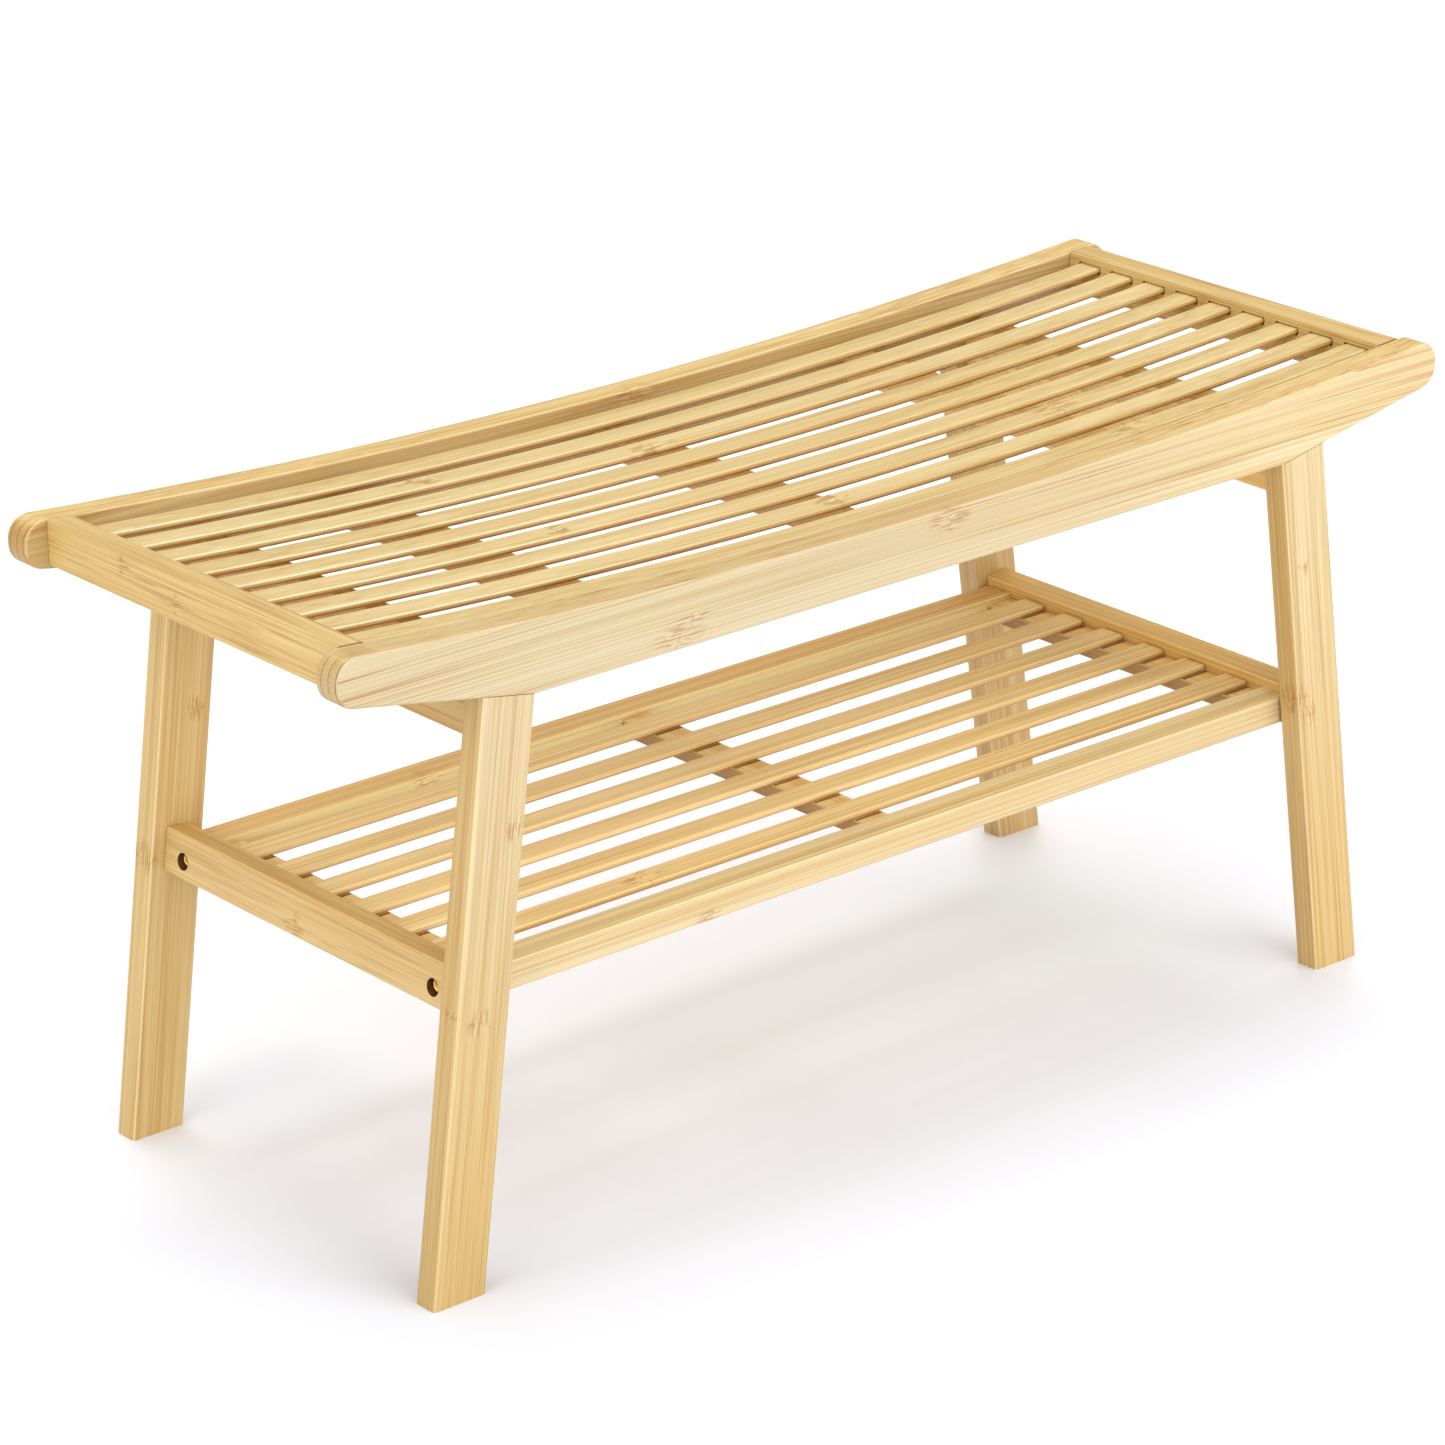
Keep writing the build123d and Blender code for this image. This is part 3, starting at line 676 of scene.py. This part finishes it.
# The front rail's top and underside are painted warmer and darker than its faces, and it is painted brighter
# towards the right end, as painted light and shade; the back rail's top is painted lighter, and both carry a
# painted highlight on their rounded edges.
front_rail_bamboo = bamboo(
    "front_rail_bamboo", on_edge, **rail_layer, tone=(0.520, 0.411, 0.236), seed=8.4, run=0.6,
    veins=0.85, vein_gain=(0.72, 0.47, 0.29), vein_width=0.45, fleck=0.0012,
    marks=[
        ((-0.2190, -0.1795, 0.4110), 0.026, 0.009),
        ((-0.2080, -0.1795, 0.4200), 0.026, 0.005),
        ((0.0162, -0.1795, 0.4350), 0.024, 0.011),
    ],
    sides=(1.03, 0.91, 0.66), drift=(0, -0.10, 0.46, (1.18, 1.17, 1.07)), polish=0.12,
)
back_rail_bamboo = bamboo(
    "back_rail_bamboo", on_edge, **rail_layer, tone=(0.478, 0.325, 0.131), seed=9.6, run=0.5, veins=0.45,
    marks=[((0.0217, 0.1600, 0.4400), 0.030, 0.012)], tops=(1.38, 1.46, 1.46), polish=0.60,
)
front_rail = rounded_board("front_dished_rail", side_rail_outline(), -rail_outer, -rail_inner, rail_round)
back_rail = rounded_board("back_dished_rail", side_rail_outline(), rail_inner, rail_outer, rail_round)
front_rail.data.materials.append(front_rail_bamboo)
back_rail.data.materials.append(back_rail_bamboo)
settle(front_rail, "bamboo", "front_side_rail")
settle(back_rail, "bamboo", "back_side_rail")

# End rails: straight laminated bamboo between the side rails, tenoned into them, with a row of round-ended
# sockets cut in the inner face for the seat slats. Painted shade darkens the sockets inside and round their
# rims; the rounded edges are painted darker and the tops a touch darker.
end_rail_inner = 0.4498
seat_slat_pitch = 0.034
seat_slat_drop = 0.0056
socket_half_width = slat_width / 2
socket_round = slat_thickness / 2
socket_top = dish_axis - math.sqrt((dish_radius + seat_slat_drop) ** 2 - end_rail_inner ** 2)
socket_level = socket_top - socket_round


# Painted shade inside and round the rim of each socket, and a dark joint line where the end rail meets a side
# rail.
def end_rail_shade(x, y, z):
    inside = abs(x).fade(end_rail_inner + 0.012, end_rail_inner + 0.011)
    from_slat = abs((y / seat_slat_pitch + 0.5).math("FRACT") - 0.5) * seat_slat_pitch
    beyond = (from_slat - (socket_half_width - socket_round)).larger(0.0)
    from_socket = (beyond * beyond + (z - socket_level) * (z - socket_level)).math("SQRT")
    cut = from_socket.fade(socket_round + 0.0014, socket_round + 0.0008) * inside
    cut = cut * from_slat.fade(socket_half_width - 0.0035, socket_half_width - 0.0010)
    return cut.larger(abs(y).fade(rail_inner - 0.0009, rail_inner - 0.0002) * 0.5)


end_rail_bamboo = bamboo(
    "end_rail_bamboo", depthwise, strip=0.0068, layer=0.0160, tone=(0.612, 0.422, 0.152), seed=9.1, run=0.14,
    veins=0.55, marks=[((-0.4702, 0.0730, 0.4520), 0.009, 0.008), ((-0.4702, 0.0145, 0.4410), 0.011, 0.009)],
    shade=end_rail_shade, tops=(0.96, 0.97, 1.01), polish=-0.4,
)
dress(end_rail_bamboo, "left_end_rail", "right_end_rail")

# Seat battens: three cross pieces under the slats, and a deeper fixing batten on each cross rail that takes
# the screws. They are plain bamboo, hidden under the seat, painted darker with shade and painted paler
# towards the right end with light.
seat_batten_bamboo = bamboo(
    "seat_batten_bamboo", depthwise, strip=0.0090, layer=0.0120, tone=(0.52, 0.29, 0.090), seed=11.7,
    stray=0.3, drift=(0, -0.10, 0.28, (1.40, 1.60, 1.75)), polish=0.05,
)
dress(
    seat_batten_bamboo, "left_seat_batten", "middle_seat_batten", "right_seat_batten",
    "left_fixing_batten", "right_fixing_batten",
)

# Seat screws: four zinc-plated socket-head screws, made like the bolts. They are driven up through the
# cross rails, at the slope of the legs, into the fixing battens.
screw_axis = Vector((math.sin(splay), 0, -math.cos(splay)))
screw_place = head_centre("seat_screws", screw_axis)
screw_mesh = socket_bolt("seat_screw")
screw_mesh.transform(Matrix.Rotation(-math.pi / 2, 4, "Y"))
seat_screws = grown(
    "sunk_seat_screws", bolt_tree,
    {
        "Half Spread X": screw_place.x, "Half Spread Y": -screw_place.y, "Height": screw_place.z,
        "Tilt": splay, "Turn": 0.0, "Finish": steel,
    },
    screw_mesh,
)
settle(seat_screws, "screw", "seat_screws")

# Seat slats: nine thin strips of bamboo with rounded edges, sprung into the dish of the seat with their
# ends in the sockets of the end rails.
seat_slat_half = 0.4596
seat_slat_nodes = [f"seat_slat_{number}" for number in range(1, 10)]
# The seat slats have painted shade on their side faces and undersides, and a painted highlight on their
# rounded edges that grows towards the left end.
seat_slat_bamboo = slat_finish(
    "seat_slat_bamboo", seat_slat_pitch, tone=(0.615, 0.460, 0.200), seed=10.2,
    marks=[
        ((-0.0400, 0.0620, 0.4385), 0.028, 0.013),
        ((-0.2023, -0.0340, 0.4400), 0.022, 0.012),
        ((-0.2074, 0.1030, 0.4420), 0.022, 0.012),
        ((0.2192, -0.0680, 0.4415), 0.024, 0.012),
        ((0.2259, -0.1360, 0.4417), 0.024, 0.012),
        ((-0.0171, -0.1020, 0.4377), 0.022, 0.012),
    ],
    sides=(0.80, 0.68, 0.52), under=(0.60, 0.36, 0.15), polish=0.75, polish_range=(0, 0.15, -0.40),
)
seat_slats = grown(
    "seat_slats", slat_tree,
    {
        "Count": len(seat_slat_nodes), "Pitch": seat_slat_pitch, "Width": slat_width,
        "Thickness": slat_thickness, "Edge Radius": 0.0023, "Half Length": seat_slat_half,
        "Curvature": 1.0 / (dish_radius + seat_slat_drop), "Top": dish_axis - dish_radius - seat_slat_drop,
        "Finish": seat_slat_bamboo,
    },
)
settle(seat_slats, "bamboo", *seat_slat_nodes)

# Studio: a pale floor, painted a little lighter where the bench shades it most, with a painted shadow by the
# back left foot, and painted darker and bluer near the bench than further out and behind it. Soft light
# comes from all round, from two boxes and from overhead, and the camera stands where the photograph was
# taken from.
floor_reach = 40.0
floor_corners = [(-floor_reach, -floor_reach), (floor_reach, -floor_reach), (floor_reach, floor_reach)]
floor_corners.append((-floor_reach, floor_reach))
near_floor, far_floor = (0.795, 0.818, 0.872), (0.90, 0.91, 0.92)
shaded_floor, left_floor = (0.880, 0.940, 1.0), (0.730, 0.755, 0.800)
floor_mesh = bpy.data.meshes.new("floor")
floor_mesh.from_pydata([(x, y, 0.0) for x, y in floor_corners], [], [(0, 1, 2, 3)])
floor = placed("floor", floor_mesh)
floor_paint, floor_shader, floor_wire, floor_place = blank("floor_paint")
floor_x, floor_y = floor_place.parts()[:2]
from_middle = (floor_x * floor_x + floor_y * floor_y).math("SQRT")
floor_light = from_middle.fade(0.6, 2.0).larger(floor_y.fade(-0.05, 0.50))
floor_stops = [(0.0, near_floor), (1.0, far_floor)]
floor_colour = floor_wire.node("ShaderNodeValToRGB", {"stops": floor_stops}, {0: floor_light})
under_bench = abs(floor_y - 0.01).fade(0.17, 0.03) * floor_x.fade(-0.30, -0.12) * floor_x.fade(0.47, 0.32)
floor_colour = floor_colour.blend(under_bench, shaded_floor)
# a painted shadow on the floor by the back left foot
under_left = abs(floor_y - 0.15).fade(0.10, 0.03) * floor_x.fade(-0.20, -0.28) * floor_x.fade(-0.42, -0.35)
floor_colour = floor_colour.blend(under_left, left_floor)
floor_colour.feed(floor_shader, "Base Color")
floor_shader.inputs["Roughness"].default_value = 0.9
floor_shader.inputs["Specular IOR Level"].default_value = 0.1
floor_mesh.materials.append(floor_paint)

world = bpy.data.worlds.new("studio")
world.use_nodes = True
sky = Wire(world.node_tree)
sideways, rearward, upward = sky.node("ShaderNodeTexCoord").parts()
glow = upward.fade(-0.05, 0.75) * 0.30 + 0.55
glow = glow * (1.0 - rearward * 0.48 - sideways * 0.20).larger(0.10)
background = world.node_tree.nodes["Background"]
background.inputs["Color"].default_value = (1.0, 1.0, 1.0, 1.0)
glow.feed(background, "Strength")
bpy.context.scene.world = world
bpy.context.scene.view_settings.view_transform = "Standard"


def hang(name, kind, power, direction, place=(0.0, 0.0, 0.0), **settings):
    """A lamp that shines along a direction."""
    light = bpy.data.lights.new(name, kind)
    light.energy = power
    for setting, value in settings.items():
        setattr(light, setting, value)
    lamp = placed(name, light)
    lamp.location = place
    lamp.rotation_euler = direction.to_track_quat("-Z", "Y").to_euler()


lit_point = Vector((0.0, 0.0, 0.25))
front_place, left_place = Vector((0.5, -3.3, 1.75)), Vector((-3.0, -0.6, 1.8))
hang("front_box", "AREA", 70.0, lit_point - front_place, front_place, size=3.2)
hang("left_box", "AREA", 34.0, lit_point - left_place, left_place, size=2.6)
hang("overhead_lamp", "SUN", 0.28, -Vector((0.16, 0.28, 1.0)), angle=math.radians(10.0))
hang("overhead_glow", "SUN", 0.95, -Vector((0.22, 0.38, 1.0)), angle=math.radians(42.0))

view_azimuth = math.radians(-40.2919)
view_height = math.radians(21.3887)
view_roll = math.radians(-0.5125)
view_distance = 3.72316
view_target = Vector((-0.03021, 0.0, 0.25091))
focal_pixels = 5384.43
photo_pixels = 1445.0
lens = bpy.data.cameras.new("camera")
lens.sensor_width = 36.0
lens.lens = focal_pixels / photo_pixels * lens.sensor_width
camera = placed("camera", lens)
level = math.cos(view_height)
backward = Vector((math.sin(view_azimuth) * level, -math.cos(view_azimuth) * level, math.sin(view_height)))
facing = (-backward).to_track_quat("-Z", "Y").to_matrix().to_4x4()
standpoint = Matrix.Translation(view_target + backward * view_distance)
camera.matrix_world = standpoint @ facing @ Matrix.Rotation(view_roll, 4, "Z")
bpy.context.scene.camera = camera
